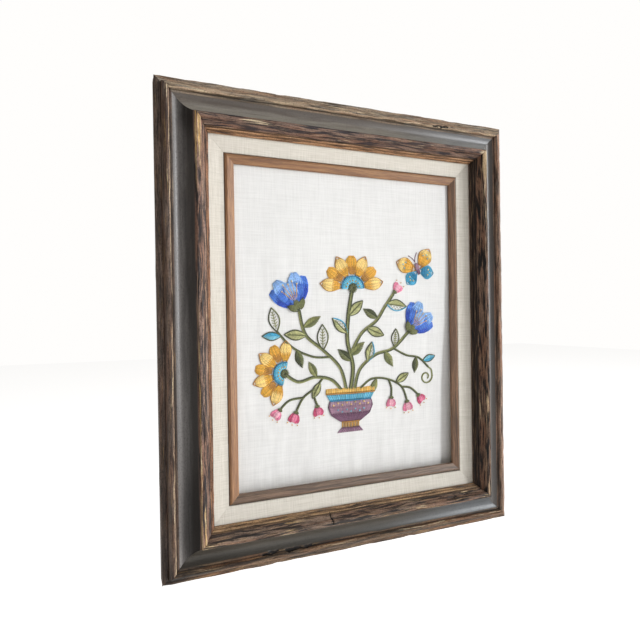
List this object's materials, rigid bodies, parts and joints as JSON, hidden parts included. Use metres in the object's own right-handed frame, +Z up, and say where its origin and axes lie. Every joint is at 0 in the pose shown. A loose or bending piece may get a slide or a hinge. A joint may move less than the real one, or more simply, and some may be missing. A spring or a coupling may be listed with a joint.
{
  "type": "framed crewel embroidery panel",
  "caption": "Wool-embroidered linen panel set behind a slim wood fillet, a sloped linen-covered liner and a deep moulded wood frame, for hanging on a wall.",
  "frame": {"origin": "middle of the top rail's flat back, where the frame lies on the wall", "axes": "+Z up the wall, +Y into the wall, +X to the right as the panel is looked at; the embroidery faces -Y"},
  "size_m": [0.424, 0.036, 0.5],
  "materials": {
    "rail_wood": "charcoal-brown stain, rubbed through to tan wood on the ridges",
    "liner_linen": "natural cream linen, matt",
    "fillet_wood": "warm brown stain, satin",
    "panel_linen": "off-white linen with wool stitches, matt"
  },
  "bodies": {
    "root": {"frame_rail_top": "rail_wood", "frame_rail_bottom": "rail_wood", "frame_rail_left": "rail_wood", "frame_rail_right": "rail_wood", "liner_top": "liner_linen", "liner_bottom": "liner_linen", "liner_left": "liner_linen", "liner_right": "liner_linen", "fillet_top": "fillet_wood", "fillet_bottom": "fillet_wood", "fillet_left": "fillet_wood", "fillet_right": "fillet_wood", "stitched_linen": "panel_linen"}
  },
  "joints": []
}
